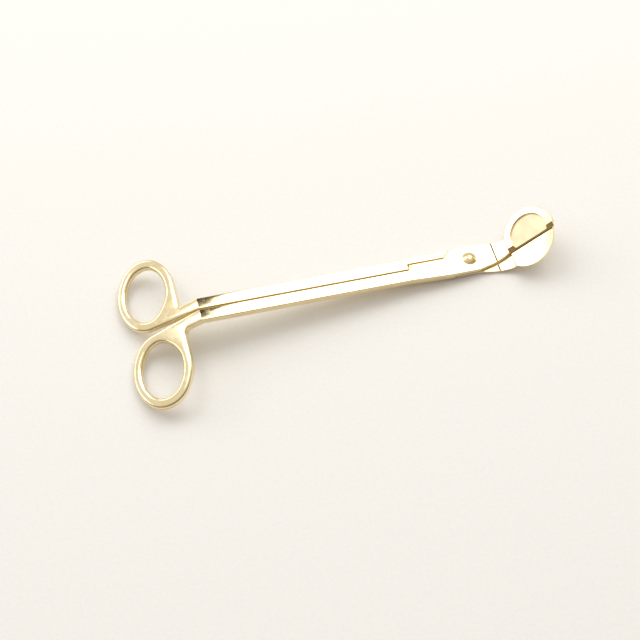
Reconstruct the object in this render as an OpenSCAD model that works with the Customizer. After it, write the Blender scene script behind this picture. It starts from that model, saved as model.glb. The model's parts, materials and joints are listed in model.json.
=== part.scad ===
// Scissor-action candle wick trimmer. It lies as it does on a table: +X runs towards the head, +Y to the
// side of the second finger loop and +Z up. The origin is on the table, under the middle of its box.
// Each lever is drawn flat round the pivot, folded down at the crease, folded up at the neck and then
// tilted until it rests on the table.

/* [Strip] */
// Thickness of the strip both levers are pressed from
strip_t = 3; // [2.6:0.1:3.6]
// Gap between the two half-thickness plates that lap at the pivot
lap_gap = 0.24; // [0.16:0.02:0.3]
// Side gap between the levers where one is stepped round the other
side_gap = 0.4; // [0.3:0.05:0.6]

/* [Shafts] */
// Distance from the pivot to the crease where the finger loops fold down
crease_x = 112; // [90:1:135]
// Width of one shaft
shaft_w = 5.1; // [4:0.1:6.2]
// Angle the finger loops fold down at the crease
loop_fold = 28; // [22:1:34]
// Inside radius of the fold at the crease
crease_in_r = 0.6; // [0.4:0.1:2]

/* [Finger loops] */
// Half width of a finger hole along the lever
hole_a = 9.2; // [7.6:0.1:11.2]
// Half width of a finger hole across the lever
hole_b = 12.4; // [11:0.1:14.9]
// Radius of the rounded ends of a finger hole
hole_end_r = 7.2; // [6.2:0.1:7.5]
// Distance from a hole's centre to its flattened side
hole_flat = 10.4; // [8.6:0.1:12.2]
// Width of the loop's band at the tip
band_a = 3.8; // [3:0.1:5]
// Width of the loop's band at the side
band_b = 4.3; // [3.5:0.1:5.5]
// Distance from the centre line to a loop's inner side
loop_side = 1.1; // [0.3:0.1:2.5]
// Length of the neck between the crease and the loop
loop_neck = 7.5; // [6.5:0.5:12]
// Radius of the fillet where the loop meets the shaft
loop_fillet = 2.6; // [1.5:0.1:3.5]

/* [Pivot] */
// Half width of the lapped plate at the pivot
plate_half_w = 6.1; // [5.5:0.1:7.4]
// Distance from the pivot back to where the lap begins
lap_back = 25.5; // [20:0.5:32]
// How far the lap reaches past the centre line behind the pivot
lap_over = 2.3; // [1.6:0.1:3]
// Distance from the pivot back to the slanting shoulder
shoulder_x = 10.2; // [9:0.1:12.5]
// Radius of the rivet's shank
shank_r = 2; // [1.6:0.1:2.4]
// Radial clearance of the shank in the bore that turns on it
bore_clear = 0.05; // [0.02:0.01:0.09]
// Radius of the rivet's domed head
dome_r = 3; // [2.8:0.1:4]
// Height of the rivet's domed head
dome_h = 1.2; // [0.8:0.1:1.8]
// Height of the rivet's set tail
tail_h = 0.3; // [0.25:0.05:0.35]
// Radius of the rivet's set tail
tail_r = 2.6; // [2.5:0.1:3]
// Thickness of the burr washer under the tail
burr_t = 0.3; // [0.25:0.05:0.35]
// Radius of the burr washer
burr_r = 3.5; // [3.2:0.1:4]
// Clearance between the burr washer and the lower plate
burr_clear = 0.03; // [0.02:0.01:0.05]
// Radius of the shim washer between the plates
shim_r = 5; // [4:0.1:5.4]
// Clearance of the shim washer under the lower plate's face
shim_clear = 0.04; // [0.02:0.01:0.06]

/* [Neck] */
// Distance from the pivot to the start of the bend that lifts the head
neck_x = 8; // [7:0.5:12]
// Radius of that bend at the middle of the strip
neck_r = 14; // [10:0.5:20]
// Angle the head bends up from the shafts
head_bend = 42; // [30:1:48]
// Half width of the neck at the end of the bend
neck_half_w = 4.6; // [3.6:0.1:5.4]
// Distance from the pivot to where the plates start to taper into the neck
taper_x = 3; // [1:0.5:5]

/* [Head] */
// Radius of the debris pan
pan_r = 11.2; // [9.5:0.1:13.5]
// Sideways offset of the pan's centre
pan_y = 1.1; // [0.5:0.1:2]
// Radius of the recess in the pan
recess_r = 8.2; // [6.5:0.1:9.2]
// Depth of the recess in the pan
recess_d = 0.8; // [0.4:0.05:1]
// Distance of the pan's cutting edge past the centre line
pan_edge = 2.4; // [1.4:0.1:3]
// Radius of the rounded blade
blade_r = 11.8; // [10:0.1:14.2]
// Distance from the centre line to the blade's outer side at the end of the bend
blade_root = 8.8; // [7:0.1:10]
// Distance of the blade's cutting edge short of the centre line
blade_edge = 0.2; // [0.1:0.1:0.8]
// Width of the bevel ground on each cutting edge
bevel_w = 1.8; // [1:0.1:2.2]
// Thickness left at a cutting edge
edge_t = 0.25; // [0.15:0.05:0.4]

/* [Hidden] */
$fn = 96;
gold = [0.93, 0.85, 0.66];
pale_gold = [0.97, 0.92, 0.78];
// Overrun of a cutting solid past the face it cuts
over = 1;
// A flat plate runs into the bend it continues by weld, and stands proud of that bend by seat on each face
weld = 0.1;
seat = 0.02;
half_t = strip_t / 2;
half_gap = lap_gap / 2;
arm_in = side_gap / 2;
arm_out = arm_in + shaft_w;
crease_r = crease_in_r + half_t;
// Pan and blade centres, measured from the end of the neck bend, where the neck runs out of their rims
pan_rise = neck_half_w - pan_y;
pan_x = sqrt(pow(pan_r, 2) - pow(pan_rise, 2)) - side_gap;
blade_y = blade_edge * 2;
blade_x = sqrt(pow(blade_r, 2) - pow(blade_root - blade_y, 2));
// Outer oval of a loop, and its centre from the end of the crease fold
loop_a = hole_a + band_a;
loop_b = hole_b + band_b;
loop_x = loop_neck + loop_a;
loop_y = loop_side + loop_b;
loop_end_r = hole_end_r + band_a;
// It lies on the tips of its loops and on the bend of its neck, or on the rivet's tail where that is lower
tip_x = loop_x + loop_a;
heel_r = neck_r + half_t;
function fold_x(x, z) = -crease_x + x * cos(loop_fold) - (z + crease_r) * sin(loop_fold);
function fold_z(x, z) = -crease_r + x * sin(loop_fold) + (z + crease_r) * cos(loop_fold);
function bend_x(x, z) = neck_x + x * cos(head_bend) - (z - neck_r) * sin(head_bend);
function bend_z(x, z) = neck_r + x * sin(head_bend) + (z - neck_r) * cos(head_bend);
touch_x = fold_x(-tip_x, -half_t);
touch_z = fold_z(-tip_x, -half_t);
arm_end = lap_back + side_gap;
bend_end = neck_x + heel_r * sin(head_bend);
shim_t = lap_gap - shim_clear;
tail_low = -half_t - burr_clear - burr_t - tail_h;
reach = sqrt(pow(neck_x - touch_x, 2) + pow(neck_r - touch_z, 2));
heel_tilt = atan2(neck_r - touch_z, neck_x - touch_x) - asin(heel_r / reach);
tail_tilt = atan2(tail_low - touch_z, tail_r - touch_x);
rest_tilt = min(heel_tilt, tail_tilt);
function rest_along(x, z) = x * cos(rest_tilt) + z * sin(rest_tilt);
function rest_up(x, z) = -x * sin(rest_tilt) + z * cos(rest_tilt);
back_end = rest_along(fold_x(-tip_x, half_t), fold_z(-tip_x, half_t));
pan_tip = rest_along(bend_x(pan_x + pan_r, -half_t), bend_z(pan_x + pan_r, -half_t));
rest_x = -(back_end + pan_tip) / 2;
rest_z = -rest_up(touch_x, touch_z);

// Places a shape drawn round the pivot on the table
module at_rest()
{
    translate([rest_x, 0, rest_z])
        rotate([0, rest_tilt, 0])
            children();
}

// Places a flat shape past the crease, its x counted from the end of the fold
module past_crease()
{
    translate([-crease_x, 0, -crease_r])
        rotate([0, -loop_fold, 0])
            translate([0, 0, crease_r])
                children();
}

// Places a flat shape past the neck, its x counted from the end of the bend
module past_neck()
{
    translate([neck_x, 0, neck_r])
        rotate([0, -head_bend, 0])
            translate([0, 0, -neck_r])
                children();
}

// A plate between two heights
module plate(low, high)
{
    translate([0, 0, low])
        linear_extrude(high - low)
            children();
}

// Part of a strip bent about an axis along Y, between two radii and two y values
module bent_strip(r_low, r_high, y_low, y_high, from, angle)
{
    rotate([90, 0, 0])
        rotate([0, 0, from])
            rotate_extrude(angle = angle)
                translate([r_low + seat, -y_high])
                    square([r_high - r_low - 2 * seat, y_high - y_low]);
}

// Oval of four tangent arcs: half widths a along x and b along y, with end radius r
module oval(a, b, r)
{
    end_y = b - r;
    side_r = (a * a + end_y * end_y - r * r) / (2 * (a - r));
    swing = atan2(end_y, side_r - a);
    join_y = end_y + r * sin(swing);
    intersection()
    {
        translate([a - side_r, 0])
            circle(side_r);
        translate([side_r - a, 0])
            circle(side_r);
        square([2 * a, 2 * join_y], center = true);
    }
    for (side = [-1, 1])
        translate([0, side * end_y])
            circle(r);
}

// Outline of one finger loop with its neck, on the +Y side, x counted back from the crease
module loop_outline()
{
    root_x = loop_x - loop_a;
    translate([-loop_x, loop_y])
        oval(loop_a, loop_b, loop_end_r);
    polygon([
        [weld, arm_in],
        [weld, arm_out],
        [-root_x, arm_out],
        [-root_x, loop_y],
        [-loop_x, loop_y],
        [-loop_x, loop_side]
    ]);
    difference()
    {
        translate([-root_x - over, arm_out - over])
            square(loop_fillet + over);
        translate([-root_x + loop_fillet, arm_out + loop_fillet])
            circle(loop_fillet);
    }
}

// Finger hole on the +Y side, flattened towards the neck
module loop_hole()
{
    size = hole_b * 4;
    translate([-loop_x, loop_y])
        intersection()
        {
            oval(hole_a, hole_b, hole_end_r);
            rotate([0, 0, -45])
                translate([hole_flat - size, -size / 2])
                    square(size);
        }
}

// Loop, crease fold and shaft up to the lap, on the +Y side
module handle()
{
    past_crease()
        plate(-half_t, half_t)
            difference()
            {
                loop_outline();
                loop_hole();
            }
    translate([-crease_x, 0, -crease_r])
        bent_strip(crease_in_r, crease_in_r + strip_t, arm_in, arm_out, 90, loop_fold);
    translate([-crease_x - weld, arm_in, -half_t])
        cube([crease_x + weld - arm_end, shaft_w, strip_t]);
}

// Outline of the lapped plate of the lever whose handle is at -Y: it steps over the centre line, shoulders
// out and runs to the neck. A clearance draws it larger, as the pocket that the other lever leaves for it.
module lap_outline(clear)
{
    step_y = lap_over + clear;
    slant_x = shoulder_x + clear * (sqrt(2) - 1);
    polygon([
        [-lap_back - clear, -arm_out],
        [-lap_back - clear, step_y],
        [-slant_x, step_y],
        [-slant_x + plate_half_w - lap_over, plate_half_w + clear],
        [neck_x + weld, plate_half_w + clear],
        [neck_x + weld, -plate_half_w],
        [-shoulder_x, -plate_half_w]
    ]);
}

// Outline of the shaft's own width beside the pivot, on the -Y side
module root_outline()
{
    polygon([
        [-arm_end, -arm_in],
        [-arm_end, -arm_out],
        [-shoulder_x, -plate_half_w],
        [0, -plate_half_w],
        [0, -arm_in]
    ]);
}

// Lapped plate and full-thickness root of the lever whose handle is at -Y, its plate on top
module lap()
{
    plate(half_gap, half_t)
    {
        root_outline();
        lap_outline(0);
    }
    plate(-half_t, half_gap)
        difference()
        {
            root_outline();
            mirror([0, 1, 0])
                lap_outline(side_gap);
        }
}

// Block that trims the plate and the bend to the neck's outline, given the y of its two edges at the end
module neck_block(edge_near, edge_far)
{
    wide = plate_half_w + over;
    far_x = bend_end + over;
    plate(-strip_t, heel_r)
        polygon([
            [-arm_end - over, -wide],
            [taper_x - over, -wide],
            [taper_x, -plate_half_w],
            [bend_end, edge_near],
            [far_x, edge_near],
            [far_x, edge_far],
            [bend_end, edge_far],
            [taper_x, plate_half_w],
            [taper_x - over, wide],
            [-arm_end - over, wide]
        ]);
}

// Bore through the pivot
module pivot_bore()
{
    translate([0, 0, -strip_t])
        cylinder(h = 2 * strip_t, r = shank_r + bore_clear);
}

// Wedge that grinds a cutting edge lying along X at edge_y; it removes what stands above the slope
module bevel(edge_y, edge_z, top_z, width)
{
    slope = (top_z - edge_z) / width;
    rotate([90, 0, 90])
        linear_extrude(pan_x + 2 * pan_r)
            polygon([
                [edge_y - over, edge_z - slope * over],
                [edge_y + width + over, top_z + slope * over],
                [edge_y - over, top_z + slope * over]
            ]);
}

// Round pan: thin lip over the blade, full thickness beyond it, and the recess that holds the trimmings
module pan()
{
    rim = 2 * pan_r;
    difference()
    {
        union()
        {
            plate(half_gap, half_t)
                intersection()
                {
                    translate([pan_x, pan_y])
                        circle(pan_r);
                    translate([-weld, -pan_edge])
                        square(2 * rim);
                }
            plate(-half_t, half_t)
                intersection()
                {
                    translate([pan_x, pan_y])
                        circle(pan_r);
                    translate([side_gap, side_gap - blade_edge])
                        square(2 * rim);
                }
        }
        translate([pan_x, pan_y, half_t - recess_d])
            cylinder(h = strip_t, r = recess_r);
        bevel(-pan_edge, half_gap + edge_t, half_t, bevel_w);
    }
}

// Rounded blade: half-thickness plate that shears under the pan's lip, ground on its far face
module blade()
{
    difference()
    {
        plate(-half_t, -half_gap)
            intersection()
            {
                translate([blade_x, -blade_y])
                    circle(blade_r);
                translate([-weld, -blade_edge - 4 * blade_r])
                    square(4 * blade_r);
            }
        rotate([180, 0, 0])
            bevel(blade_edge, half_gap + edge_t, half_t, bevel_w);
    }
}

// Lever on the near side: its plate lies on top at the pivot and ends in the debris pan
module pan_lever()
{
    color(pale_gold)
        at_rest()
        {
            mirror([0, 1, 0])
                handle();
            difference()
            {
                intersection()
                {
                    union()
                    {
                        lap();
                        translate([neck_x, 0, neck_r])
                            bent_strip(neck_r - half_t, neck_r - half_gap, -plate_half_w, plate_half_w,
                                       -90, head_bend);
                    }
                    neck_block(-pan_edge, neck_half_w);
                }
                pivot_bore();
            }
            past_neck()
                pan();
        }
}

// Lever on the far side: its plate lies below at the pivot and ends in the rounded blade
module blade_lever()
{
    color(pale_gold)
        at_rest()
        {
            handle();
            difference()
            {
                intersection()
                {
                    union()
                    {
                        rotate([180, 0, 0])
                            lap();
                        translate([neck_x, 0, neck_r])
                            bent_strip(neck_r + half_gap, neck_r + half_t, -blade_root, plate_half_w,
                                       -90, head_bend);
                    }
                    neck_block(-blade_root, -blade_edge);
                }
                pivot_bore();
            }
            past_neck()
                blade();
        }
}

// Domed rivet, its shank through both plates and its tail set under the burr washer
module pivot_rivet()
{
    dome_ball = (dome_r * dome_r + dome_h * dome_h) / (2 * dome_h);
    color(gold)
        at_rest()
        {
            intersection()
            {
                translate([0, 0, half_t + dome_h - dome_ball])
                    sphere(dome_ball);
                translate([0, 0, half_t])
                    cylinder(h = dome_h + over, r = dome_r);
            }
            translate([0, 0, tail_low])
                cylinder(h = tail_h, r = tail_r);
            translate([0, 0, tail_low])
                cylinder(h = half_t - tail_low, r = shank_r);
        }
}

// Flat ring round the rivet's shank, from a height up
module washer(low, thick, outer_r)
{
    translate([0, 0, low])
        difference()
        {
            cylinder(h = thick, r = outer_r);
            translate([0, 0, -over])
                cylinder(h = thick + 2 * over, r = shank_r + bore_clear);
        }
}

// Shim washer in the gap between the plates
module pivot_shim()
{
    color("silver")
        at_rest()
            washer(half_gap - shim_t, shim_t, shim_r);
}

// Burr washer between the lower plate and the rivet's tail
module rivet_burr()
{
    color(gold)
        at_rest()
            washer(tail_low + tail_h, burr_t, burr_r);
}

pan_lever();
blade_lever();
pivot_rivet();
pivot_shim();
rivet_burr();
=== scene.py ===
# %% [markdown]
# # A candle wick trimmer, from a flat pattern to polished metal
# A wick trimmer is a pair of long scissors pressed from strip metal. Its finger loops fold down at a crease,
# its head bends up at a neck, and a round pan under the blade's edge catches the cut wick. The mechanical
# model is already made and packed. This lesson loads it as a fixed frame and makes the parts that people
# see and touch around it: rounded loops, a crisp crease, ground edges and a mirror-bright plated finish.

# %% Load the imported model
import json
import math

import bmesh
import bpy
import numpy as np
from mathutils import Matrix, Vector


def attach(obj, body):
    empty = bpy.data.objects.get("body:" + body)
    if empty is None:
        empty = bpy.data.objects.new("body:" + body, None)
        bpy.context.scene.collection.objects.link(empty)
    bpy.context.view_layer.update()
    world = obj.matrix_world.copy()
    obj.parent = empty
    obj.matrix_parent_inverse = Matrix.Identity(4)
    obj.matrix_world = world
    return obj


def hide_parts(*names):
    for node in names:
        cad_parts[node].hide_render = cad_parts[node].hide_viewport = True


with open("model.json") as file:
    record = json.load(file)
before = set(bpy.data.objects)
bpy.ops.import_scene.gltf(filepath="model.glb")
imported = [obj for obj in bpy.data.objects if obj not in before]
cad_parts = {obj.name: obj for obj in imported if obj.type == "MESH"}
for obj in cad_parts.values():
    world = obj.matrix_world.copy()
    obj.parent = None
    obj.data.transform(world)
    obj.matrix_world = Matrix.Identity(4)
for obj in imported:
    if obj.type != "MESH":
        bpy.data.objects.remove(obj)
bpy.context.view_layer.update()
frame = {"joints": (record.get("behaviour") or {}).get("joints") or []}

# %% [markdown]
# ## Where things are
# Every lever is easiest to draw flat, in millimetres, with the rivet at the origin and the handle running
# to -X. The frame tells where the rivet really is and how far the shafts tilt when the tool lies on a
# table, so one matrix takes a finished flat-pattern part to its place.

# %% Place of the pivot and tilt of the shafts
MM = 0.001
joint = frame["joints"][0]
pivot = Vector(joint["pos_m"])
rest_tilt = math.asin(-joint["axis"][0])
to_rest = Matrix.Translation(pivot) @ Matrix.Rotation(rest_tilt, 4, "Y") @ Matrix.Scale(MM, 4)
print("pivot", tuple(round(v, 5) for v in pivot), "tilt", round(math.degrees(rest_tilt), 2), "degrees")

# %% [markdown]
# ## Sizes
# These are the sizes of the real strip, in millimetres, as the mechanical model has them. What is added
# here is what a press tool and a polishing wheel leave: the radius of each rounded edge, and a slight
# crown across the flats, which is what bends reflections near an edge.

# %% Sizes in millimetres
STRIP = 3.0
LAP_GAP = 0.24
SIDE_GAP = 0.4
SHAFT_WIDTH = 5.1
CREASE_X = 112.0
CREASE_RADIUS = 2.1
LOOP_FOLD = math.radians(28)
NECK_X = 8.0
NECK_RADIUS = 14.0
HEAD_BEND = math.radians(42)

HOLE_A, HOLE_B, HOLE_END = 9.2, 12.4, 7.2
HOLE_FLAT = 10.4
BAND_A, BAND_B = 3.8, 4.3
LOOP_SIDE = 1.1
LOOP_NECK = 7.5

PLATE_HALF = 6.1
LAP_BACK = 25.5
LAP_OVER = 2.3
SHOULDER = 10.2
TAPER_X = 3.0
NECK_HALF = 4.6

PAN_RADIUS, PAN_Y, PAN_EDGE = 11.2, 1.1, 2.4
RECESS_RADIUS, RECESS_DEPTH = 8.2, 0.8
BLADE_RADIUS, BLADE_ROOT, BLADE_EDGE = 11.8, 8.8, 0.2
BEVEL_WIDTH, EDGE_THICK = 1.8, 0.25
GRIND_START = 0.6

SHANK_RADIUS, BORE_CLEAR = 2.0, 0.05
DOME_RADIUS, DOME_HEIGHT = 3.0, 1.2
BURR_RADIUS, BURR_THICK, BURR_CLEAR = 3.5, 0.3, 0.03
TAIL_RADIUS, TAIL_HEIGHT = 2.6, 0.3
SHIM_RADIUS, SHIM_CLEAR = 5.0, 0.04

LOOP_ROUND = 1.1
SHAFT_ROUND = 0.35
CORNER_ROUND = 0.8
KEEN_ROUND = 0.05
CROWN = 0.05

HALF = STRIP / 2
GAP = LAP_GAP / 2
ARM_IN = SIDE_GAP / 2
ARM_OUT = ARM_IN + SHAFT_WIDTH
LOOP_A, LOOP_B, LOOP_END = HOLE_A + BAND_A, HOLE_B + BAND_B, HOLE_END + BAND_A
print("one finger loop is", 2 * LOOP_A, "x", 2 * LOOP_B, "mm")

# %% [markdown]
# ## The side profile
# Seen from the side, a lever is one line: along the loop, round the crease, along the shaft, round the neck
# and up the head. A flat pattern wraps round that line as sheet metal round a former. The crease is one
# corner, so the fold stays crisp. Two points close to it keep the flats beside it flat. The neck is an arc.
# Distance along the line, counted from the rivet, is the flat pattern's own x.

# %% Points of the side profile, and the distance along it
corner_x = -CREASE_X - CREASE_RADIUS * math.tan(LOOP_FOLD / 2)
past_corner = CREASE_RADIUS * math.tan(LOOP_FOLD / 2)
CREASE_SHEAR = 4.0
LOOP_REACH, HEAD_REACH = 45, 26
NECK_STEPS = 14
AT_LOOP_SIDE, AT_CREASE, AT_SHAFT_SIDE, AT_RIVET, AT_NECK = 1, 2, 3, 4, 5
AT_HEAD = AT_NECK + NECK_STEPS
loop_way = np.array([-math.cos(LOOP_FOLD), -math.sin(LOOP_FOLD)])
head_way = np.array([math.cos(HEAD_BEND), math.sin(HEAD_BEND)])
corner = np.array([corner_x, 0.0])
profile = [corner + loop_way * LOOP_REACH, corner + loop_way * CREASE_SHEAR, corner]
profile += [corner + [CREASE_SHEAR, 0]]
profile += [np.array([0.0, 0.0])]
for step in range(NECK_STEPS + 1):
    turn = HEAD_BEND * step / NECK_STEPS
    profile.append(np.array([NECK_X + NECK_RADIUS * math.sin(turn), NECK_RADIUS * (1 - math.cos(turn))]))
profile.append(profile[-1] + head_way * HEAD_REACH)
profile = np.array(profile)
along = np.concatenate([[0], np.cumsum(np.linalg.norm(np.diff(profile, axis=0), axis=1))])
along -= along[AT_RIVET]
FLAT_CREASE = along[AT_CREASE]
FLAT_LOOP = FLAT_CREASE - past_corner
FLAT_HEAD = along[AT_HEAD]
print("crease at", round(FLAT_CREASE, 2), "head from", round(FLAT_HEAD, 2), "mm along the profile")

# %% [markdown]
# ## Outlines from lines and arcs
# A pressed outline is straight runs and tangent arcs, so two small functions draw all of it. Each point
# also carries how round its top edge is, because the loops are rounded for fingers and the shafts are not.

# %% Arcs, and corners with a small radius
def arc(centre_x, centre_y, radius, start, end, step=4.0):
    """Points along an arc, from one angle to another, in degrees."""
    count = max(2, math.ceil(abs(end - start) / step))
    turn = np.radians(np.linspace(start, end, count + 1))
    return [(centre_x + radius * math.cos(a), centre_y + radius * math.sin(a)) for a in turn]


def soft_corner(before, at, after, radius, steps=4):
    """The arc that replaces a sharp corner."""
    before, at, after = (np.array(p, float) for p in (before, at, after))
    way_in = (before - at) / np.linalg.norm(before - at)
    way_out = (after - at) / np.linalg.norm(after - at)
    half = math.acos(np.clip(np.dot(way_in, way_out), -1, 1)) / 2
    run = radius / math.tan(half)
    middle = at + (way_in + way_out) / np.linalg.norm(way_in + way_out) * radius / math.sin(half)
    first, last = at + way_in * run - middle, at + way_out * run - middle
    swing = math.atan2(first[0] * last[1] - first[1] * last[0], np.dot(first, last))
    points = []
    for k in range(steps + 1):
        c, s = math.cos(swing * k / steps), math.sin(swing * k / steps)
        points.append(tuple(middle + [c * first[0] - s * first[1], s * first[0] + c * first[1]]))
    return points


def soft_outline(points):
    """A closed outline from (x, y, corner radius); a radius of 0 keeps the point."""
    outline = []
    for k, (x, y, radius) in enumerate(points):
        if radius:
            outline += soft_corner(points[k - 1][:2], (x, y), points[(k + 1) % len(points)][:2], radius)
        else:
            outline.append((x, y))
    return np.array(outline)


def oval(a, b, end_r, start, end):
    """Part of an oval of four tangent arcs round the origin, between two of its quarter points."""
    end_y = b - end_r
    side_r = (a * a + end_y * end_y - end_r * end_r) / (2 * (a - end_r))
    swing = math.degrees(math.atan2(end_y, side_r - a))
    arcs = [(a - side_r, 0, side_r, 0, swing), (0, end_y, end_r, swing, 90),
            (0, end_y, end_r, 90, 180 - swing), (side_r - a, 0, side_r, 180 - swing, 180),
            (side_r - a, 0, side_r, 180, 180 + swing),
            (0, -end_y, end_r, 180 + swing, 270), (0, -end_y, end_r, 270, 360 - swing),
            (a - side_r, 0, side_r, 360 - swing, 360)]
    points = []
    for quarter in range(start, end):
        for piece in arcs[2 * quarter:2 * quarter + 2]:
            points += arc(*piece)[:-1]
    return points


print("an arc of", len(arc(0, 0, 1, 0, 90)), "points makes a quarter turn")

# %% [markdown]
# ## One finger loop
# The loop is an oval band on a short neck. The hole is the same oval, drawn smaller, and pressed a little
# flat towards the neck, where the band has to carry the squeeze of the hand. The outline on the side of
# the other loop is a straight line that opens slowly from the crease.

# %% Outline of the loop and of its hole, with the handle on the +Y side
LOOP_X = FLAT_LOOP - LOOP_NECK - LOOP_A
LOOP_Y = LOOP_SIDE + LOOP_B


def loop_run(fillet):
    """From the outside of the shaft, round the loop and back to the inside of the shaft."""
    root = LOOP_X + LOOP_A
    points = [(x, y, 0) for x, y in arc(root + fillet, ARM_OUT + fillet, fillet, 270, 180, 10)]
    points += [(LOOP_X + x, LOOP_Y + y, 0) for x, y in oval(LOOP_A, LOOP_B, LOOP_END, 0, 3)]
    points += [(LOOP_X, LOOP_SIDE, 0), (FLAT_LOOP, ARM_IN, 0), (FLAT_CREASE + CREASE_SHEAR, ARM_IN, 0)]
    return points


FLAT_WAY = math.radians(-45)
FLAT_EASE, FLAT_RISE, FLAT_LEFT = 0.7, 0.15, 0.3


def hole_run():
    """The finger hole, clockwise, eased flat on the side that faces the neck."""
    points = np.array(oval(HOLE_A, HOLE_B, HOLE_END, 0, 4))[::-1]
    way = np.array([math.cos(FLAT_WAY), math.sin(FLAT_WAY)])
    reach = points @ way
    eased = HOLE_FLAT - FLAT_EASE * np.log1p(np.exp((HOLE_FLAT - reach) / FLAT_EASE)) + FLAT_RISE
    flat = np.where(reach > HOLE_FLAT - 4 * FLAT_EASE, eased + FLAT_LEFT * (reach - eased), reach)
    return points + np.outer(flat - reach, way) + [LOOP_X, LOOP_Y]


hole = hole_run()
print("the hole is drawn with", len(hole), "points")

# %% [markdown]
# ## From an outline to a plate with rounded edges
# A plate's rim is a stack of rings. Each ring is the outline moved inwards a little and up a little, so
# that the rings follow a quarter circle, and then a very shallow crown. Moving a point inwards goes along
# the mitre of its two edges. The last ring is filled flat. This keeps every reflection smooth.

# %% Rings, walls and caps
EDGE_STEPS = 6
CROWN_STEPS = 3


def inward(outline):
    """For each point, the way that moves both of its edges inwards by one unit."""
    edge = np.roll(outline, -1, axis=0) - outline
    edge /= np.linalg.norm(edge, axis=1, keepdims=True)
    normal = np.stack([-edge[:, 1], edge[:, 0]], axis=1)
    before = np.roll(normal, 1, axis=0)
    return (before + normal) / (1 + (before * normal).sum(axis=1, keepdims=True))


def plate(name, outlines, inner_z, outer_z):
    """A closed plate between two heights, its edges rounded at the outer one.
    An outline is (points, edge radius, crown, crown width); the last three may change from point to point."""
    mesh = bmesh.new()
    side = 1 if outer_z > inner_z else -1
    inner_edges, outer_edges = [], []
    for points, radius, crown, crown_width in outlines:
        way = inward(points)
        size = len(points)
        rim = (np.broadcast_to(v, size).astype(float) for v in (radius, crown, crown_width))
        radius, crown, crown_width = rim
        steps = [(np.zeros(size), np.full(size, inner_z))]
        for k in range(EDGE_STEPS + 1):
            turn = math.radians(90) * k / EDGE_STEPS
            move = radius * (1 - math.cos(turn))
            drop = radius * (1 - math.sin(turn)) + crown * (1 - move / crown_width) ** 2
            steps.append((move, outer_z - side * drop))
        for k in range(1, CROWN_STEPS + 1):
            move = radius + (crown_width - radius) * k / CROWN_STEPS
            steps.append((move, outer_z - side * crown * (1 - move / crown_width) ** 2))
        rings = [[mesh.verts.new((*(p + w * m), z)) for p, w, m, z in zip(points, way, move, height)]
                 for move, height in steps]
        for low, high in zip(rings, rings[1:]):
            for k in range(size):
                mesh.faces.new((low[k - 1], low[k], high[k], high[k - 1]))
        inner_edges += [mesh.edges.get((rings[0][k - 1], rings[0][k])) for k in range(size)]
        outer_edges += [mesh.edges.get((rings[-1][k - 1], rings[-1][k])) for k in range(size)]
    for edges in (inner_edges, outer_edges):
        bmesh.ops.triangle_fill(mesh, edges=edges, use_beauty=True)
    bmesh.ops.recalc_face_normals(mesh, faces=mesh.faces)
    return finish_mesh(name, mesh)


def finish_mesh(name, mesh):
    """Puts a bmesh into a new object in the scene."""
    data = bpy.data.meshes.new(name)
    mesh.to_mesh(data)
    mesh.free()
    made = bpy.data.objects.new(name, data)
    bpy.context.scene.collection.objects.link(made)
    return made


def open_edges(made):
    """How many edges of a mesh don't join exactly two faces."""
    mesh = bmesh.new()
    mesh.from_mesh(made.data)
    count = sum(len(edge.link_faces) != 2 for edge in mesh.edges)
    mesh.free()
    return count


def combine(made, tool, operation):
    """Joins or cuts one closed mesh with another, which is used up."""
    modifier = made.modifiers.new(operation.lower(), "BOOLEAN")
    modifier.operation = operation
    modifier.solver = "MANIFOLD"
    modifier.object = tool
    graph = bpy.context.evaluated_depsgraph_get()
    result = bpy.data.meshes.new_from_object(made.evaluated_get(graph))
    made.modifiers.clear()
    made.data = result
    bpy.data.objects.remove(tool)
    return made


print("a rounded edge has", EDGE_STEPS, "steps and the crown behind it", CROWN_STEPS)

# %% [markdown]
# ## Edge roundness along a lever
# A press leaves the shaft's edges nearly square, and the loops are then rolled round for comfort. So the
# edge radius grows smoothly from the crease to the loop. The crown fades out before the lap, where the
# plates have to lie flat on each other.

# %% Edge radius and crown for each point of an outline
ROUND_FROM, ROUND_FULL = 3, 14
CROWN_ENDS, LAP_FLAT = -34, -28
SHAFT_CROWN_WIDTH, LOOP_CROWN_WIDTH = 2.2, 1.75
BARE_CROWN_WIDTH = 1.15


def smooth(value, low, high):
    """0 below low, 1 above high and an S-curve between them."""
    t = np.clip((value - low) / (high - low), 0, 1)
    return t * t * (3 - 2 * t)


def edges_of(points, keen=None):
    """The rim settings of an outline; keen marks the points of a cutting edge."""
    from_crease = FLAT_LOOP - points[:, 0]
    loop = smooth(from_crease, ROUND_FROM, ROUND_FULL)
    radius = SHAFT_ROUND + (LOOP_ROUND - SHAFT_ROUND) * loop
    flat = smooth(points[:, 0], CROWN_ENDS, LAP_FLAT)
    crown = CROWN * (1 - flat)
    wide = SHAFT_CROWN_WIDTH + (LOOP_CROWN_WIDTH - SHAFT_CROWN_WIDTH) * loop
    crown_width = wide * (1 - flat) + radius * BARE_CROWN_WIDTH * flat
    if keen is not None:
        radius = np.where(keen, KEEN_ROUND, radius)
        crown_width = np.where(keen, KEEN_ROUND * BARE_CROWN_WIDTH, crown_width)
    return points, radius, crown, crown_width


print("a shaft edge is", SHAFT_ROUND, "mm round and a loop edge", LOOP_ROUND, "mm")

# %% [markdown]
# ## A lever
# Both levers are half-lapped: at the rivet each is only half as thick, one plate above and one below, and
# beside the lap each has a root of full thickness with a pocket for the other one's plate. So a lever is
# two plates, one above the other, joined. Both are drawn with the handle on +Y. The near lever is then
# mirrored. Its plate is the upper one, and the far lever's plate is the lower one.

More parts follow.
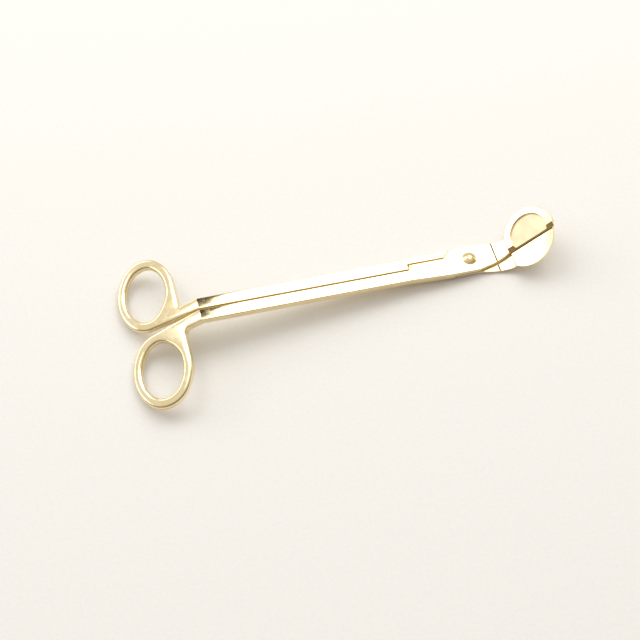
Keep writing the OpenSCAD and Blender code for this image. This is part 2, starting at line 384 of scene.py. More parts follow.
# %% The half that carries the head
TIP_ROUND = 1.0
LAP_CORNER, SHOULDER_CORNER, SMALL_CORNER = 0.4, 0.6, 0.3
HEAD_SET_BACK = 1.8


def long_half(head_centre, head_radius, neck_far, neck_near, fillet, far_y, near_y):
    """The plate that runs from the loop to the head. far_y and near_y are where the head's arc ends."""
    cx, cy = head_centre
    start = math.degrees(math.atan2(far_y - cy, -math.sqrt(max(head_radius ** 2 - (far_y - cy) ** 2, 0))))
    end = math.degrees(math.asin((near_y - cy) / head_radius))
    head = [(cx + head_radius * math.cos(math.radians(start)), far_y, TIP_ROUND)]
    head += [(x, y, 0) for x, y in arc(cx, cy, head_radius, start + 7, end - 2)]
    points = [(-LAP_BACK, -LAP_OVER, LAP_CORNER), (-SHOULDER, -LAP_OVER, SHOULDER_CORNER),
              (-SHOULDER + PLATE_HALF - LAP_OVER, -PLATE_HALF, CORNER_ROUND),
              (TAPER_X, -PLATE_HALF, CORNER_ROUND), (FLAT_HEAD - HEAD_SET_BACK, neck_far, 0)]
    points += head
    points += [(cx + head_radius * math.cos(math.radians(end)), near_y, SMALL_CORNER)]
    points += [(FLAT_HEAD, neck_near, 0), (TAPER_X, PLATE_HALF, CORNER_ROUND),
               (-SHOULDER, PLATE_HALF, CORNER_ROUND), (-LAP_BACK - SIDE_GAP, ARM_OUT, 0)]
    points += loop_run(fillet)
    points += [(-LAP_BACK, ARM_IN, SMALL_CORNER)]
    outline = soft_outline(points)
    keen = (outline[:, 0] > FLAT_HEAD - 2) & (abs(outline[:, 1] - near_y) < 0.4)
    return outline, keen


def short_half(fillet):
    """The other half of the thickness, from the loop to the root beside the lap."""
    pocket = LAP_OVER + SIDE_GAP
    slant = SHOULDER + SIDE_GAP * (math.sqrt(2) - 1)
    points = [(-LAP_BACK - SIDE_GAP, ARM_IN, SMALL_CORNER), (-LAP_BACK - SIDE_GAP, pocket, LAP_CORNER),
              (-slant, pocket, SHOULDER_CORNER),
              (-slant + PLATE_HALF - pocket, PLATE_HALF, SMALL_CORNER), (-SHOULDER, PLATE_HALF, 0),
              (-LAP_BACK - SIDE_GAP, ARM_OUT, 0)]
    points += loop_run(fillet)
    return soft_outline(points)


print("a lap plate is", 2 * PLATE_HALF, "mm wide and", HALF - GAP, "mm thick")

# %% [markdown]
# ## Cutting tools
# The pan's recess is turned, so its cutter is a lathe shape: a flat floor, a small fillet, a wall and a
# flare that takes the sharp corner off the rim. The cutting edges are ground flat at a slope, which a
# wedge does. The rivet's bore is a plain drill.

# %% A lathe shape, a wedge and a drill
def lathe(name, run, sides=96):
    """A closed solid of revolution about Z, from (radius, height) points that start and end on the axis."""
    mesh = bmesh.new()
    rings = []
    for radius, height in run:
        if radius < 1e-9:
            rings.append([mesh.verts.new((0, 0, height))])
            continue
        turns = [2 * math.pi * k / sides for k in range(sides)]
        rings.append([mesh.verts.new((radius * math.cos(a), radius * math.sin(a), height)) for a in turns])
    for low, high in zip(rings, rings[1:]):
        for k in range(sides):
            after = k + 1
            corners = (low[k % len(low)], low[after % len(low)], high[after % len(high)], high[k % len(high)])
            mesh.faces.new(list(dict.fromkeys(corners)))
    bmesh.ops.recalc_face_normals(mesh, faces=mesh.faces)
    return finish_mesh(name, mesh)


def recess_cutter(centre, fillet=0.3, flare=0.14):
    """What the recess takes out of the pan."""
    floor = HALF - RECESS_DEPTH
    run = [(0, floor), (RECESS_RADIUS - fillet, floor)]
    run += [(RECESS_RADIUS - fillet + fillet * math.sin(a), floor + fillet * (1 - math.cos(a)))
            for a in np.radians((22, 45, 68, 90))]
    run += [(RECESS_RADIUS + flare * (1 - math.cos(a)), HALF - flare * (1 - math.sin(a)))
            for a in np.radians((0, 30, 60))]
    run += [(RECESS_RADIUS + flare * 1.6, HALF + 1), (0, HALF + 1)]
    cutter = lathe("recess_cutter", run)
    cutter.data.transform(Matrix.Translation((*centre, 0)))
    return cutter


def wedge(edge_y, into, keen_z, face_z):
    """What a grinding wheel takes off a cutting edge; into is the way from the edge to the metal."""
    slope = (face_z - keen_z) / BEVEL_WIDTH
    reach = 1.0
    section = [(edge_y - into * reach, keen_z - slope * reach),
               (edge_y + into * (BEVEL_WIDTH + reach), face_z + slope * reach),
               (edge_y - into * reach, face_z + slope * reach)]
    mesh = bmesh.new()
    ends_x = (FLAT_HEAD - GRIND_START, FLAT_HEAD + HEAD_REACH)
    ends = [[mesh.verts.new((x, y, z)) for y, z in section] for x in ends_x]
    for end in ends:
        mesh.faces.new(end)
    for k in range(3):
        mesh.faces.new((ends[0][k - 1], ends[0][k], ends[1][k], ends[1][k - 1]))
    bmesh.ops.recalc_face_normals(mesh, faces=mesh.faces)
    return finish_mesh("wedge", mesh)


def drill():
    """The rivet's bore."""
    radius = SHANK_RADIUS + BORE_CLEAR
    return lathe("drill", [(0, -STRIP), (radius, -STRIP), (radius, STRIP), (0, STRIP)], 64)


print("the drill is", 2 * (SHANK_RADIUS + BORE_CLEAR), "mm across")

# %% [markdown]
# ## The two levers, in the flat
# The near lever's plate lies on top and ends in the debris pan. Under the pan a thick D-shaped pad gives
# the recess its depth, and only the lip that shears against the blade stays thin. The far lever's plate
# lies below and ends in the rounded blade, which is ground from underneath.

# %% Join and cut the near lever's flat pattern
PAN_X = FLAT_HEAD + math.sqrt(PAN_RADIUS ** 2 - (NECK_HALF - PAN_Y) ** 2) - SIDE_GAP
NEAR_FILLET, FAR_FILLET = 2.6, 1.0
keen_z = GAP + EDGE_THICK


def thick_pad():
    """The D-shaped pad under the pan, clear of the blade."""
    left = FLAT_HEAD + SIDE_GAP
    drop = math.sqrt(PAN_RADIUS ** 2 - (PAN_X - left) ** 2)
    start = math.degrees(math.atan2(-drop, left - PAN_X))
    end = math.degrees(math.asin((PAN_Y - ARM_IN) / PAN_RADIUS))
    points = [(left, -ARM_IN, 0.5), (left, -PAN_Y - drop, 0.5)]
    points += [(x, y, 0) for x, y in arc(PAN_X, -PAN_Y, PAN_RADIUS, start + 6, end - 3)]
    points += [(PAN_X + PAN_RADIUS * math.cos(math.radians(end)), -ARM_IN, 0.3)]
    return soft_outline(points)


outline, keen = long_half((PAN_X, -PAN_Y), PAN_RADIUS, -NECK_HALF, PAN_EDGE, NEAR_FILLET,
                          -NECK_HALF, PAN_EDGE)
near_lever = plate("near_lever", [edges_of(outline, keen), edges_of(hole)], GAP, HALF)
near_root = plate("near_root", [edges_of(short_half(NEAR_FILLET)), edges_of(hole)], GAP, -HALF)
combine(near_lever, near_root, "UNION")
combine(near_lever, plate("pan_pad", [edges_of(thick_pad())], GAP, -HALF), "UNION")
combine(near_lever, recess_cutter((PAN_X, -PAN_Y)), "DIFFERENCE")
combine(near_lever, wedge(PAN_EDGE, -1, keen_z, HALF), "DIFFERENCE")
combine(near_lever, drill(), "DIFFERENCE")
print("near lever", len(near_lever.data.polygons), "faces,", open_edges(near_lever), "open edges")

# %% Join and cut the far lever's flat pattern
BLADE_Y = 2 * BLADE_EDGE
BLADE_X = FLAT_HEAD + math.sqrt(BLADE_RADIUS ** 2 - (BLADE_ROOT - BLADE_Y) ** 2)
outline, keen = long_half((BLADE_X, -BLADE_Y), BLADE_RADIUS, -BLADE_ROOT, -BLADE_EDGE, FAR_FILLET,
                          -BLADE_ROOT, -BLADE_EDGE)
far_lever = plate("far_lever", [edges_of(outline, keen), edges_of(hole)], -GAP, -HALF)
far_root = plate("far_root", [edges_of(short_half(FAR_FILLET)), edges_of(hole)], -GAP, HALF)
combine(far_lever, far_root, "UNION")
combine(far_lever, wedge(-BLADE_EDGE, -1, -keen_z, -HALF), "DIFFERENCE")
combine(far_lever, drill(), "DIFFERENCE")
print("far lever", len(far_lever.data.polygons), "faces,", open_edges(far_lever), "open edges")

# %% [markdown]
# ## Marking the finishes
# The whole lever is plated in one bath, but three things were done to its surface. The flats were
# polished, the floor of the recess was left as it was turned, and the cutting edges were ground last. A
# number on each face keeps that apart through all the bending. The pattern is also cut at every station
# of the profile, so that it has points where it has to bend.

# %% Number the faces by finish, and cut the pattern at the profile's stations
POLISHED, TURNED, GROUND = 0, 1, 2


def mark_and_slice(made, edge_y, recess_centre=None):
    """Writes the face attribute 'finish', then cuts the mesh across at each station."""
    mesh = bmesh.new()
    mesh.from_mesh(made.data)
    finish = mesh.faces.layers.int.new("finish")
    for face in mesh.faces:
        centre, normal = face.calc_center_median(), face.normal
        face[finish] = POLISHED
        if recess_centre and normal.z > 0.95 and centre.z < HALF - RECESS_DEPTH / 2:
            if math.hypot(centre.x - recess_centre[0], centre.y - recess_centre[1]) < RECESS_RADIUS:
                face[finish] = TURNED
        sloped = abs(normal.x) < 0.02 and 0.5 < abs(normal.z) < 0.97
        if centre.x > FLAT_HEAD - GRIND_START and sloped and abs(centre.y - edge_y) < BEVEL_WIDTH + 0.1:
            face[finish] = GROUND
    for station in [along[AT_LOOP_SIDE], along[AT_CREASE], along[AT_SHAFT_SIDE], *along[AT_NECK:-1]]:
        geometry = mesh.verts[:] + mesh.edges[:] + mesh.faces[:]
        bmesh.ops.bisect_plane(mesh, geom=geometry, dist=1e-4, plane_co=(station, 0, 0), plane_no=(1, 0, 0))
    counts = [sum(face[finish] == kind for face in mesh.faces) for kind in (POLISHED, TURNED, GROUND)]
    mesh.to_mesh(made.data)
    mesh.free()
    print(made.name, "faces polished, turned, ground:", counts)


mark_and_slice(near_lever, PAN_EDGE, (PAN_X, -PAN_Y))
mark_and_slice(far_lever, -BLADE_EDGE)

# %% [markdown]
# ## Right hand and left hand
# Both patterns were drawn with the handle on +Y, so one of them is mirrored across the shaft's line. A
# mirror turns a mesh inside out, so its faces are flipped back straight afterwards.

# %% Mirror the near lever to the other side
near_lever.data.transform(Matrix.Scale(-1, 4, (0, 1, 0)))
near_lever.data.flip_normals()
print("the near lever's loop is now on -Y")

# %% [markdown]
# ## Helpers for node trees
# One function adds a node, sets its properties and fills its sockets with values or links. Another turns
# an sRGB hex colour, the way a colour is written in a design guide, into the linear numbers that a
# shader works with.

# %% Add a node, and read a hex colour
def add(tree, kind, sockets=None, **settings):
    """A new node; sockets maps an input's name or number to a value or to another node's output."""
    node = tree.nodes.new(kind)
    for name, value in settings.items():
        setattr(node, name, value)
    for key, value in (sockets or {}).items():
        if isinstance(value, bpy.types.NodeSocket):
            tree.links.new(value, node.inputs[key])
        else:
            node.inputs[key].default_value = value
    return node


def linear(code):
    """An sRGB hex colour as linear RGBA."""
    parts = [int(code[k:k + 2], 16) / 255 for k in (1, 3, 5)]
    return (*[v / 12.92 if v <= 0.04045 else ((v + 0.055) / 1.055) ** 2.4 for v in parts], 1)


print("mid grey is", round(linear("#808080")[0], 3))

# %% [markdown]
# ## The plated metal
# The strip is stainless steel, polished on a buffing wheel and then coated with a thin pale champagne
# gold. It is a metal, so its colour is the colour of its reflections. Buffing along the strip leaves
# hair lines, which smear a reflection lengthways. Real ones are about a hundredth of a millimetre wide and
# would not show, so they are drawn some ten times coarser, as the scratches are. Handling adds faint
# smudges. The sheet is never truly flat: a slow waviness bends every highlight a bit.

# %% Mirror-polished champagne-gold plate
def new_material(name):
    """An empty material and its Principled shader."""
    material = bpy.data.materials.new(name)
    material.use_nodes = True
    material.node_tree.nodes.clear()
    shader = add(material.node_tree, "ShaderNodeBsdfPrincipled")
    out = add(material.node_tree, "ShaderNodeOutputMaterial")
    material.node_tree.links.new(shader.outputs[0], out.inputs[0])
    return material, material.node_tree, shader


def stretched(tree, size, detail=2.0, turn=0.0):
    """Noise on Object coordinates whose grains are size = (x, y, z) millimetres, turned about Z."""
    place = add(tree, "ShaderNodeTexCoord").outputs["Object"]
    scale = [1 / (v * MM) for v in size]
    turned = add(tree, "ShaderNodeMapping", {"Vector": place, "Rotation": (0, 0, turn)})
    grains = add(tree, "ShaderNodeMapping", {"Vector": turned.outputs[0], "Scale": scale})
    noise = {"Vector": grains.outputs[0], "Scale": 1.0, "Detail": detail}
    return add(tree, "ShaderNodeTexNoise", noise).outputs[0]


SCRATCH_ROUGHNESS, SCRATCH_DEPTH = 0.08, 0.0004


def plated(name, light, deep, gloss, hair_depth, hair=(14, 0.12, 1.5), wave_depth=0.0015):
    """Plated and buffed metal. hair is the grain of the buffing lines and the depths are in millimetres."""
    material, tree, shader = new_material(name)
    shader.inputs["Metallic"].default_value = 1.0
    tone = add(tree, "ShaderNodeMapRange", {0: stretched(tree, (9, 6, 6), 3), 1: 0.35, 2: 0.7}).outputs[0]
    mixed = add(tree, "ShaderNodeMix", {0: tone, 6: linear(light), 7: linear(deep)}, data_type="RGBA")
    tree.links.new(mixed.outputs[2], shader.inputs["Base Color"])
    lines = stretched(tree, hair, 4)
    smudge = add(tree, "ShaderNodeMapRange", {0: stretched(tree, (5, 4, 4), 4), 1: 0.5, 2: 0.75, 4: 0.06})
    left = {0: stretched(tree, (11, 0.1, 2), 1, 0.5), 1: 0.73, 2: 0.8}
    right = {0: stretched(tree, (7, 0.08, 2), 1, -0.8), 1: 0.74, 2: 0.81}
    left, right = (add(tree, "ShaderNodeMapRange", slant).outputs[0] for slant in (left, right))
    scratches = add(tree, "ShaderNodeMath", {0: left, 1: right}, operation="MAXIMUM").outputs[0]
    base = add(tree, "ShaderNodeMapRange", {0: lines, 1: 0.3, 2: 0.7, 3: gloss * 0.7, 4: gloss * 1.4})
    rough = add(tree, "ShaderNodeMath", {0: base.outputs[0], 1: smudge.outputs[0]}, operation="ADD")
    scratched = {0: scratches, 1: SCRATCH_ROUGHNESS, 2: rough.outputs[0]}
    worn = add(tree, "ShaderNodeMath", scratched, operation="MULTIPLY_ADD").outputs[0]
    tree.links.new(worn, shader.inputs["Roughness"])
    waves = stretched(tree, (16, 7, 7), 1)
    bump = add(tree, "ShaderNodeBump", {"Height": waves, "Distance": wave_depth * MM}).outputs[0]
    fine = {"Height": lines, "Distance": hair_depth * MM, "Normal": bump}
    bump = add(tree, "ShaderNodeBump", fine).outputs[0]
    cut = {"Height": scratches, "Distance": SCRATCH_DEPTH * MM, "Normal": bump}
    bump = add(tree, "ShaderNodeBump", cut, invert=True).outputs[0]
    tree.links.new(bump, shader.inputs["Normal"])
    return material


champagne_plate = plated("champagne_gold_plated_steel", "#f5e5be", "#efdbab", 0.06, 0.00006)
rivet_plate = plated("champagne_gold_plated_rivet", "#f1deac", "#e6cb8c", 0.09, 0.0001, hair=(0.6, 0.6, 3))
print("plated metals", champagne_plate.name, rivet_plate.name)

# %% [markdown]
# ## Turned and ground metal
# The recess was cut on a lathe and left with its fine rings, which scatter light more than the buffed
# rim does, so it looks softer. Its duller, pinker colour is painted shade in the recess. The cutting edges
# show the parallel lines of the grinding belt, straight across the edge. Steel stays duller there because
# the plating is thinner. Tool lines are finer than 0.05 mm in reality, and are drawn two to three times
# coarser so that they show.

# %% Turned recess, ground edge and rolled shim steel
def lined(name, light, deep, rough, size, depth, ring_centre=None):
    """Metal with tool lines of a given size in millimetres, in rings about a point or straight."""
    material, tree, shader = new_material(name)
    shader.inputs["Metallic"].default_value = 1.0
    if ring_centre:
        place = add(tree, "ShaderNodeTexCoord").outputs["Object"]
        out = add(tree, "ShaderNodeVectorMath", {0: place, 1: ring_centre}, operation="SUBTRACT").outputs[0]
        far = add(tree, "ShaderNodeVectorMath", {0: out}, operation="LENGTH").outputs["Value"]
        spread = add(tree, "ShaderNodeMath", {0: far, 1: 1 / (size[0] * MM)}, operation="MULTIPLY").outputs[0]
        lines = add(tree, "ShaderNodeTexNoise", {"W": spread, "Scale": 1.0, "Detail": 3.0},
                    noise_dimensions="1D").outputs[0]
    else:
        lines = stretched(tree, size, 3)
    tone = add(tree, "ShaderNodeMapRange", {0: lines, 1: 0.3, 2: 0.7}).outputs[0]
    mixed = add(tree, "ShaderNodeMix", {0: tone, 6: linear(deep), 7: linear(light)}, data_type="RGBA")
    tree.links.new(mixed.outputs[2], shader.inputs["Base Color"])
    blotch = {0: stretched(tree, (4, 4, 4), 3), 1: 0.3, 2: 0.7, 3: rough * 0.85, 4: rough * 1.2}
    uneven = add(tree, "ShaderNodeMapRange", blotch).outputs[0]
    fine = {0: lines, 1: rough * 0.5, 2: uneven}
    fine = add(tree, "ShaderNodeMath", fine, operation="MULTIPLY_ADD").outputs[0]
    tree.links.new(fine, shader.inputs["Roughness"])
    bump = add(tree, "ShaderNodeBump", {"Height": lines, "Distance": depth * MM})
    tree.links.new(bump.outputs[0], shader.inputs["Normal"])
    return material


def flat_to_rest(x, y, z):
    """Where a point of the head's flat pattern ends up on the table, in metres."""
    bend_end = profile[AT_HEAD]
    up = np.array([-head_way[1], head_way[0]])
    place = bend_end + head_way * (x - FLAT_HEAD) + up * z
    return to_rest @ Vector((place[0], y, place[1]))


pan_centre = flat_to_rest(PAN_X, PAN_Y, HALF - RECESS_DEPTH)
# The recess's colours are duller and pinker than the polished plate's: painted shade in the recess. Its rings
# are real tool lines.
turned_recess_painted_shade = lined("turned_plated_recess_painted_shade", "#eadbbe", "#d5c09c", 0.34, (0.16,), 0.0012, tuple(pan_centre))
ground_edge = lined("belt_ground_cutting_edge", "#ebd49c", "#cba562", 0.2, (0.09, 3, 3), 0.0015)
shim_steel = lined("rolled_spring_steel_shim", "#b9b7b2", "#8f8c86", 0.3, (6, 0.15, 0.15), 0.0008)
print("pan centre", tuple(round(v, 4) for v in pan_centre))

# %% [markdown]
# ## Wrapping a flat pattern round its side profile
# Geometry Nodes does the press work. For each point of the flat pattern it looks up the profile at the
# distance x, and puts the point at height z square to the profile there. The profile's radius holds how
# much a section is stretched: 1 everywhere, and a little more on the mitre of the crease, so that the
# strip keeps its thickness round the corner.

# %% The side profile as a curve, and the wrapping tree
def profile_curve():
    """The side profile as a poly curve in the XZ plane."""
    data = bpy.data.curves.new("side_profile", "CURVE")
    data.dimensions = "3D"
    line = data.splines.new("POLY")
    line.points.add(len(profile) - 1)
    for k, (x, z) in enumerate(profile):
        line.points[k].co = (x, 0, z, 1)
        line.points[k].radius = 1 / math.cos(LOOP_FOLD / 2) if k == AT_CREASE else 1.0
    made = bpy.data.objects.new("side_profile", data)
    bpy.context.scene.collection.objects.link(made)
    return made


def wrapping_tree():
    """Geometry Nodes that bend a flat lever along its side profile and give its faces their metals."""
    tree = bpy.data.node_groups.new("wrap_round_side_profile", "GeometryNodeTree")
    tree.interface.new_socket("Geometry", in_out="INPUT", socket_type="NodeSocketGeometry")
    tree.interface.new_socket("Side profile", in_out="INPUT", socket_type="NodeSocketObject")
    tree.interface.new_socket("Rivet along profile", in_out="INPUT", socket_type="NodeSocketFloat")
    for metal in ("Polished metal", "Turned metal", "Ground metal"):
        tree.interface.new_socket(metal, in_out="INPUT", socket_type="NodeSocketMaterial")
    tree.interface.new_socket("Geometry", in_out="OUTPUT", socket_type="NodeSocketGeometry")
    given = add(tree, "NodeGroupInput").outputs
    former = add(tree, "GeometryNodeObjectInfo", {"Object": given["Side profile"]})
    flat = add(tree, "ShaderNodeSeparateXYZ", {0: add(tree, "GeometryNodeInputPosition").outputs[0]})
    run = add(tree, "ShaderNodeMath", {0: flat.outputs[0], 1: given["Rivet along profile"]}, operation="ADD")
    stretch = add(tree, "GeometryNodeInputRadius").outputs[0]
    looked_up = {"Curves": former.outputs["Geometry"], "Value": stretch, "Length": run.outputs[0]}
    found = add(tree, "GeometryNodeSampleCurve", looked_up, mode="LENGTH")
    square = {0: found.outputs["Tangent"], 1: (0.0, 1.0, 0.0)}
    up = add(tree, "ShaderNodeVectorMath", square, operation="CROSS_PRODUCT")
    rise = add(tree, "ShaderNodeMath", {0: flat.outputs[2], 1: found.outputs["Value"]}, operation="MULTIPLY")
    lift = add(tree, "ShaderNodeVectorMath", {0: up.outputs[0], "Scale": rise.outputs[0]}, operation="SCALE")
    side = add(tree, "ShaderNodeCombineXYZ", {"Y": flat.outputs[1]})
    lifted = {0: found.outputs["Position"], 1: lift.outputs[0]}
    place = add(tree, "ShaderNodeVectorMath", lifted, operation="ADD")
    whole = add(tree, "ShaderNodeVectorMath", {0: place.outputs[0], 1: side.outputs[0]}, operation="ADD")
    geometry = add(tree, "GeometryNodeSetPosition", {"Geometry": given[0], "Position": whole.outputs[0]})
    geometry = add(tree, "GeometryNodeRealizeInstances", {"Geometry": geometry.outputs[0]})
    finish = add(tree, "GeometryNodeInputNamedAttribute", {"Name": "finish"}, data_type="INT").outputs[0]
    for kind, metal in ((POLISHED, "Polished metal"), (TURNED, "Turned metal"), (GROUND, "Ground metal")):
        chosen = add(tree, "FunctionNodeCompare", {2: finish, 3: kind}, data_type="INT", operation="EQUAL")
        coat = {"Geometry": geometry.outputs[0], "Selection": chosen.outputs[0], "Material": given[metal]}
        geometry = add(tree, "GeometryNodeSetMaterial", coat)
    add(tree, "NodeGroupOutput", {0: geometry.outputs[0]})
    return tree


side_profile = profile_curve()
wrap = wrapping_tree()
print("wrapping tree has", len(wrap.nodes), "nodes")

# %% [markdown]
# ## Bending both levers
# The modifier's inputs are set by their identifiers, the evaluated result becomes a plain mesh, and the
# matrix of the frame lays it on the table. Edges that turn more than the edge rings do are marked sharp,
# and weighted normals keep the flats perfectly flat up to their rounded rims.

# %% Bend, place and finish a lever
SHARP_TURN = math.radians(24)


def bend_and_place(flat_lever, name):
    """Wraps a flat lever round the profile and makes it a finished piece."""
    modifier = flat_lever.modifiers.new("wrap", "NODES")
    modifier.node_group = wrap
    values = {"Side profile": side_profile, "Rivet along profile": float(-along[0]),
              "Polished metal": champagne_plate, "Turned metal": turned_recess_painted_shade, "Ground metal": ground_edge}
    for item in wrap.interface.items_tree:
        if item.name in values:
            modifier[item.identifier] = values[item.name]
    graph = bpy.context.evaluated_depsgraph_get()
    data = bpy.data.meshes.new_from_object(flat_lever.evaluated_get(graph))
    data.materials.pop(index=0)
    bpy.data.objects.remove(flat_lever)
    return place_piece(name, data)


def place_piece(name, data):
    """Lays a millimetre mesh on the table, smooth but for its sharp edges."""
    data.transform(to_rest)
    data.name = name
    mesh = bmesh.new()
    mesh.from_mesh(data)
    for face in mesh.faces:
        face.smooth = True
    for edge in mesh.edges:
        edge.smooth = edge.calc_face_angle(0) < SHARP_TURN
    mesh.to_mesh(data)
    mesh.free()
    made = bpy.data.objects.new(name, data)
    bpy.context.scene.collection.objects.link(made)
    modifier = made.modifiers.new("flat_normals", "WEIGHTED_NORMAL")
    modifier.keep_sharp = True
    return made


near_metal = bend_and_place(near_lever, "near_lever_with_pan")
far_metal = bend_and_place(far_lever, "far_lever_with_blade")
bpy.data.objects.remove(side_profile)
for made in (near_metal, far_metal):
    print(made.name, [m.name for m in made.data.materials], "open edges", open_edges(made))

# %% [markdown]
# ## The rivet and its washers
# The rivet was set with a spinning tool: a low dome on top, with a faint ring where the tool stopped,
# and a flat tail below, on a burr washer. The thin shim between the plates lets them turn. Each is a
# lathe shape from a profile with rounded corners.

# %% Lathe profiles of the rivet, the burr washer and the shim
DOME_LIP, DOME_LIP_HEIGHT = 0.12, 0.1
TOOL_RING_DEPTH, TOOL_RING_WIDTH, TOOL_RING_AT = 0.03, 0.12, 0.8


def dome_run(radius, height, base, steps=14):
    """A dome from its rim to its top, with a small roll at the rim."""
    ball = (radius * radius + height * height) / (2 * height)
    edge = math.asin(radius / ball)
    run = [(radius - DOME_LIP, base), (radius - 0.02, base + 0.03), (radius, base + DOME_LIP_HEIGHT)]
    for k in range(1, steps + 1):
        turn = edge * (1 - k / steps)
        out = ball * math.sin(turn)
        ring = -TOOL_RING_DEPTH * math.exp(-((out - TOOL_RING_AT * radius) / TOOL_RING_WIDTH) ** 2)
        run.append((out, base + height - ball * (1 - math.cos(turn)) + ring))
    return run


def ring_mesh(name, inner, outer, low, high, soft=0.06):
    """A flat washer with softened edges."""
    run = [(inner, low + soft), (inner + soft, low), (outer - soft, low), (outer, low + soft),
           (outer, high - soft), (outer - soft, high), (inner + soft, high), (inner, high - soft)]
    sides = 96
    turns = [2 * math.pi * k / sides for k in range(sides)]
    mesh = bmesh.new()
    rings = [[mesh.verts.new((r * math.cos(a), r * math.sin(a), z)) for a in turns] for r, z in run]
    for low_ring, high_ring in zip(rings, rings[1:] + rings[:1]):
        for k in range(sides):
            mesh.faces.new((low_ring[k - 1], low_ring[k], high_ring[k], high_ring[k - 1]))
    bmesh.ops.recalc_face_normals(mesh, faces=mesh.faces)
    return finish_mesh(name, mesh)


burr_top = -HALF - BURR_CLEAR
tail_top = burr_top - BURR_THICK
tail_low = tail_top - TAIL_HEIGHT
TAIL_ROUND = 0.12
rivet_run = [(0, tail_low + 0.06), (0.5, tail_low + 0.05), (0.8, tail_low),
             (TAIL_RADIUS - TAIL_ROUND, tail_low), (TAIL_RADIUS - 0.03, tail_low + 0.04),
             (TAIL_RADIUS, tail_low + TAIL_ROUND), (TAIL_RADIUS, tail_top),
             (SHANK_RADIUS, tail_top), (SHANK_RADIUS, HALF)]
rivet_run += dome_run(DOME_RADIUS, DOME_HEIGHT, HALF)
rivet_run[-1] = (0, HALF + DOME_HEIGHT)
bore = SHANK_RADIUS + BORE_CLEAR
shim_low = SHIM_CLEAR - GAP
small_parts = {
    "pivot_rivet": (lathe("rivet", rivet_run), "domed_rivet", rivet_plate),
    "rivet_burr": (ring_mesh("burr", bore, BURR_RADIUS, tail_top, burr_top), "burr_washer", rivet_plate),
    "pivot_shim": (ring_mesh("shim", bore, SHIM_RADIUS, shim_low, GAP, 0.03), "shim_washer", shim_steel),
}
print("lathe shapes", list(small_parts))

# %% [markdown]
# ## What each piece stands for
# A lever moves with its own body. The rivet is set tight in the near lever, so the rivet and both washers
# move with that side, and only the far lever turns about them. Each piece replaces one plain mechanical
# shape.

# %% Place them, and say what every piece stands for
for node, (turned, name, metal) in small_parts.items():
    data = turned.data
    bpy.data.objects.remove(turned)
    data.materials.append(metal)
    piece = place_piece(name, data)
    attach(piece, "pan_side")
    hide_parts(node)
    print(name, "stands for", node, "open edges", open_edges(piece))
for piece, body, node in ((near_metal, "pan_side", "pan_lever"), (far_metal, "blade_side", "blade_lever")):
    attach(piece, body)
    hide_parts(node)
    print(piece.name, "rides on", body)

# %% [markdown]
# ## The table
# The trimmer lies on a plain pale sweep of card. It is matt, so it lights the metal's sides softly and
# shows a quiet contact shadow.

# %% Pale card floor
def card_material():
    """Matt pale card with a very faint fibre."""
    material, tree, shader = new_material("pale_matt_card")
    fibre = stretched(tree, (1.2, 1.2, 1.2), 3)
    fibre = add(tree, "ShaderNodeMapRange", {0: fibre, 1: 0.3, 2: 0.7}).outputs[0]
    pale = {0: fibre, 6: linear("#f2f1ee"), 7: linear("#f6f5f3")}
    mixed = add(tree, "ShaderNodeMix", pale, data_type="RGBA")
    tree.links.new(mixed.outputs[2], shader.inputs["Base Color"])
    shader.inputs["Roughness"].default_value = 0.85
    shader.inputs["Specular IOR Level"].default_value = 0.2
    return material


FLOOR_SIZE = 14.0
sheet = bmesh.new()
bmesh.ops.create_grid(sheet, x_segments=1, y_segments=1, size=FLOOR_SIZE / 2)
floor = finish_mesh("card_floor", sheet)
floor.data.materials.append(card_material())
print("floor", FLOOR_SIZE, "m across at z = 0")

# %% [markdown]
# ## Studio light
# A mirror shows its surroundings, so lighting polished metal means deciding what it reflects. Seen from
# the camera, the shafts mirror the key box, behind the tool and to the right. The neck turns as it rises
# and sweeps over the middle box, and the head mirrors the long low box at the left. A narrow card of black
# felt hangs between the key box and the middle box, and the shafts mirror it as a dark wedge at the crease.
# The loops mirror mostly the bare room between the boxes, so they look cream and not white. The room fades
# from pale at the back to a dimmer warm tone behind the camera.

# %% Soft boxes, dark flag and the room
def faced(way, distance):
    """A pose that looks at the tool from an azimuth (from +Y towards +X) and an elevation, in degrees."""
    azimuth, elevation = (math.radians(v) for v in way)
    out = Vector((math.sin(azimuth) * math.cos(elevation), math.cos(azimuth) * math.cos(elevation),
                  math.sin(elevation)))
    aim = out.to_track_quat("Z", "Y").to_matrix().to_4x4()
    return Matrix.Translation(out * distance) @ aim


def soft_box(name, way, distance, size, radiance, colour):
    """A rectangular area light with a given brightness of its face."""
    light = bpy.data.lights.new(name, "AREA")
    light.shape = "RECTANGLE"
    light.size, light.size_y = size
    light.energy = radiance * math.pi * size[0] * size[1]
    light.color = linear(colour)[:3]
    made = bpy.data.objects.new(name, light)
    made.matrix_world = faced(way, distance)
    made.visible_camera = False
    bpy.context.scene.collection.objects.link(made)
    return made


KEY_WAY, KEY_AWAY, KEY_SIZE, KEY_GLOW = (41, 50), 1.0, (0.60, 0.7), 2.3
MIDDLE_WAY, MIDDLE_AWAY, MIDDLE_SIZE, MIDDLE_GLOW = (-27.5, 52.3), 1.0, (0.73, 0.48), 2.1
HEAD_WAY, HEAD_AWAY, HEAD_SIZE, HEAD_GLOW = (-51, 25.6), 2.2, (1.7, 0.54), 2.1
FLAG_WAY, FLAG_AWAY, FLAG_SIZE = (11, 58), 0.95, (0.075, 0.5)
soft_box("key_box", KEY_WAY, KEY_AWAY, KEY_SIZE, KEY_GLOW, "#fffdf9")
soft_box("middle_box", MIDDLE_WAY, MIDDLE_AWAY, MIDDLE_SIZE, MIDDLE_GLOW, "#fffdf9")
soft_box("head_box", HEAD_WAY, HEAD_AWAY, HEAD_SIZE, HEAD_GLOW, "#fffcf7")

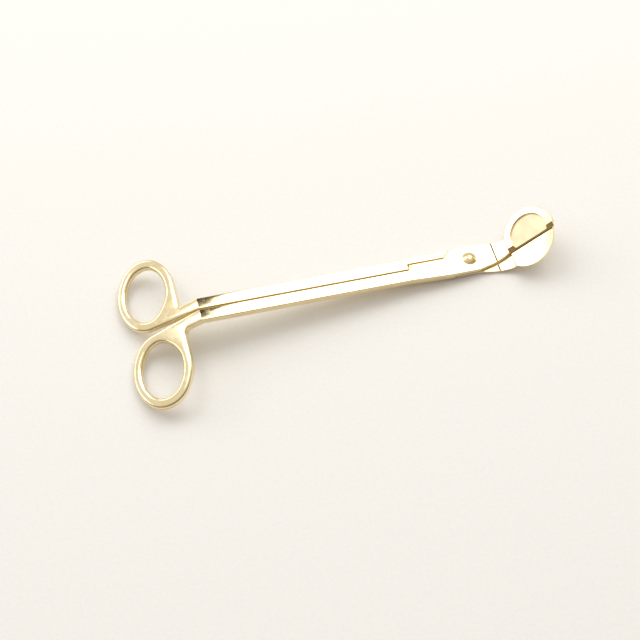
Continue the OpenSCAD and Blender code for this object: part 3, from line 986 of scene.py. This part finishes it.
flag_material, _, flag_shader = new_material("black_felt_flag")
flag_shader.inputs["Base Color"].default_value = linear("#2a241d")
flag_shader.inputs["Roughness"].default_value = 0.95
sheet = bmesh.new()
bmesh.ops.create_grid(sheet, x_segments=1, y_segments=1, size=0.5)
flag = finish_mesh("felt_flag", sheet)
flag.data.transform(faced(FLAG_WAY, FLAG_AWAY) @ Matrix.Diagonal((*FLAG_SIZE, 1, 1)))
flag.data.materials.append(flag_material)


ROOM_BRIGHT_SIDE = (0.0, 0.55, 0.83)
ROOM_GLOW = 0.86


def room():
    """A warm room: a pale ceiling and back wall, and a dimmer tone behind the camera."""
    world = bpy.data.worlds.new("studio_room")
    world.use_nodes = True
    tree = world.node_tree
    tree.nodes.clear()
    way = add(tree, "ShaderNodeTexCoord").outputs["Generated"]
    facing = add(tree, "ShaderNodeVectorMath", {0: way, 1: ROOM_BRIGHT_SIDE}, operation="DOT_PRODUCT")
    ramp = add(tree, "ShaderNodeMapRange", {0: facing.outputs["Value"], 1: 0.1, 2: 0.75}).outputs[0]
    tone = add(tree, "ShaderNodeMix", {0: ramp, 6: linear("#a09280"), 7: linear("#fffdfa")}, data_type="RGBA")
    light = add(tree, "ShaderNodeBackground", {0: tone.outputs[2], 1: ROOM_GLOW})
    add(tree, "ShaderNodeOutputWorld", {0: light.outputs[0]})
    return world


bpy.context.scene.world = room()

# %% [markdown]
# ## The camera
# The camera looks down from the front at about sixty degrees, a little from the left and slightly
# rolled. A long lens keeps the long tool nearly free of perspective.

# %% Camera
AIM = Vector((-0.0127, -0.0137, 0.008))
AZIMUTH, ELEVATION, ROLL = (math.radians(v) for v in (-11.35, 58.98, 4.18))
DISTANCE = 0.516
LENS = 73.1
back = Vector((math.sin(AZIMUTH) * math.cos(ELEVATION), -math.cos(AZIMUTH) * math.cos(ELEVATION),
               math.sin(ELEVATION)))
lens = bpy.data.cameras.new("product_camera")
lens.lens = LENS
lens.sensor_width = 36
camera = bpy.data.objects.new("product_camera", lens)
turn = back.to_track_quat("Z", "Y").to_matrix().to_4x4()
camera.matrix_world = Matrix.Translation(AIM + back * DISTANCE) @ turn @ Matrix.Rotation(-ROLL, 4, "Z")
bpy.context.scene.collection.objects.link(camera)
bpy.context.scene.camera = camera
bpy.context.scene.view_settings.view_transform = "Standard"
print("camera at", tuple(round(v, 3) for v in camera.matrix_world.translation))
